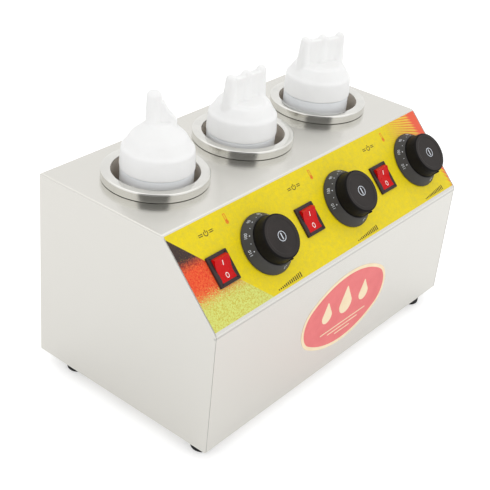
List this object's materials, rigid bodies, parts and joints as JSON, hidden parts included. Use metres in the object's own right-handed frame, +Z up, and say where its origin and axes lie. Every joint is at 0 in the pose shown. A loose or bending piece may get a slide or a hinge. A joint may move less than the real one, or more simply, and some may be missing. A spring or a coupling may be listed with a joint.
{
  "type": "squeeze bottle topping warmer",
  "caption": "Countertop warmer with heated wells that keep squeeze bottles of hot fudge at a set temperature, each with its own switch and thermostat knob.",
  "frame": {"origin": "middle of the footprint at table height", "axes": "+X to the right along the front as seen from the front, +Y from the control panel to the back, +Z up from the table"},
  "size_m": [0.43, 0.2384, 0.3205],
  "materials": {
    "steel": "satin",
    "polished_steel": "polished",
    "film": "gloss",
    "badge": "gloss",
    "black_plastic": "satin",
    "red_plastic": "gloss",
    "bottle": "translucent satin",
    "cap": "translucent satin",
    "rubber": "matte",
    "zinc": "zinc plated",
    "dark_screw": "satin",
    "heater": "satin",
    "ceramic": "matte",
    "brass": "satin",
    "copper": "satin",
    "wire": "satin"
  },
  "bodies": {
    "housing": {"housing_shell": "steel", "base_plate": "steel", "base_screws": "dark_screw", "foot_front_left": "rubber", "foot_front_right": "rubber", "foot_back_left": "rubber", "foot_back_right": "rubber", "foot_screws": "dark_screw", "foot_nuts": "zinc", "collar_left": "rubber", "collar_mid": "rubber", "collar_right": "rubber", "well_cup_left": "polished_steel", "well_cup_mid": "polished_steel", "well_cup_right": "polished_steel", "heater_band_left": "heater", "heater_band_mid": "heater", "heater_band_right": "heater", "heater_clamp_screws": "dark_screw", "thermostat_left": "ceramic", "thermostat_mid": "ceramic", "thermostat_right": "ceramic", "thermostat_screws": "zinc", "sensor_left": "copper", "sensor_mid": "copper", "sensor_right": "copper", "sensor_clips": "zinc", "switch_frame_left": "black_plastic", "switch_frame_mid": "black_plastic", "switch_frame_right": "black_plastic", "panel_film": "film", "front_badge": "badge", "power_inlet": "black_plastic", "inlet_pins": "brass", "inlet_screws": "zinc", "inlet_nuts": "zinc", "terminal_block": "ceramic", "terminal_block_screws": "zinc", "earth_stud": "brass", "supply_wires": "wire", "switch_wires": "wire", "heater_wires": "wire"},
    "knob_left_body": {"knob_left": "black_plastic", "thermostat_shaft_left": "brass"},
    "rocker_left_body": {"switch_rocker_left": "red_plastic"},
    "bottle_left_body": {"bottle_left": "bottle"},
    "cap_left_body": {"bottle_cap_left": "cap"},
    "knob_mid_body": {"knob_mid": "black_plastic", "thermostat_shaft_mid": "brass"},
    "rocker_mid_body": {"switch_rocker_mid": "red_plastic"},
    "bottle_mid_body": {"bottle_mid": "bottle"},
    "cap_mid_body": {"bottle_cap_mid": "cap"},
    "knob_right_body": {"knob_right": "black_plastic", "thermostat_shaft_right": "brass"},
    "rocker_right_body": {"switch_rocker_right": "red_plastic"},
    "bottle_right_body": {"bottle_right": "bottle"},
    "cap_right_body": {"bottle_cap_right": "cap"}
  },
  "joints": [
    {"name": "knob_left_turn", "type": "hinge", "parent": "housing", "child": "knob_left_body", "pos_m": [-0.1031, -0.08227, 0.18969], "axis": [0, 0.7214, -0.6925], "range_deg": [0, 267]},
    {"name": "rocker_left_tilt", "type": "hinge", "parent": "housing", "child": "rocker_left_body", "pos_m": [-0.1686, -0.08119, 0.18866], "axis": [-1, 0, 0], "range_deg": [0, 22]},
    {"name": "bottle_left_lift", "type": "slide", "parent": "housing", "child": "bottle_left_body", "axis": [0, 0, 1], "range_m": [0, 0.17]},
    {"name": "cap_left_lift", "type": "slide", "parent": "bottle_left_body", "child": "cap_left_body", "axis": [0, 0, 1], "range_m": [0, 0.04]},
    {"name": "knob_mid_turn", "type": "hinge", "parent": "housing", "child": "knob_mid_body", "pos_m": [0.0331, -0.08227, 0.18969], "axis": [0, 0.7214, -0.6925], "range_deg": [0, 267]},
    {"name": "rocker_mid_tilt", "type": "hinge", "parent": "housing", "child": "rocker_mid_body", "pos_m": [-0.0324, -0.08119, 0.18866], "axis": [-1, 0, 0], "range_deg": [0, 22]},
    {"name": "bottle_mid_lift", "type": "slide", "parent": "housing", "child": "bottle_mid_body", "axis": [0, 0, 1], "range_m": [0, 0.17]},
    {"name": "cap_mid_lift", "type": "slide", "parent": "bottle_mid_body", "child": "cap_mid_body", "axis": [0, 0, 1], "range_m": [0, 0.04]},
    {"name": "knob_right_turn", "type": "hinge", "parent": "housing", "child": "knob_right_body", "pos_m": [0.1693, -0.08227, 0.18969], "axis": [0, 0.7214, -0.6925], "range_deg": [0, 267]},
    {"name": "rocker_right_tilt", "type": "hinge", "parent": "housing", "child": "rocker_right_body", "pos_m": [0.1038, -0.08119, 0.18866], "axis": [-1, 0, 0], "range_deg": [0, 22]},
    {"name": "bottle_right_lift", "type": "slide", "parent": "housing", "child": "bottle_right_body", "axis": [0, 0, 1], "range_m": [0, 0.17]},
    {"name": "cap_right_lift", "type": "slide", "parent": "bottle_right_body", "child": "cap_right_body", "axis": [0, 0, 1], "range_m": [0, 0.04]}
  ]
}
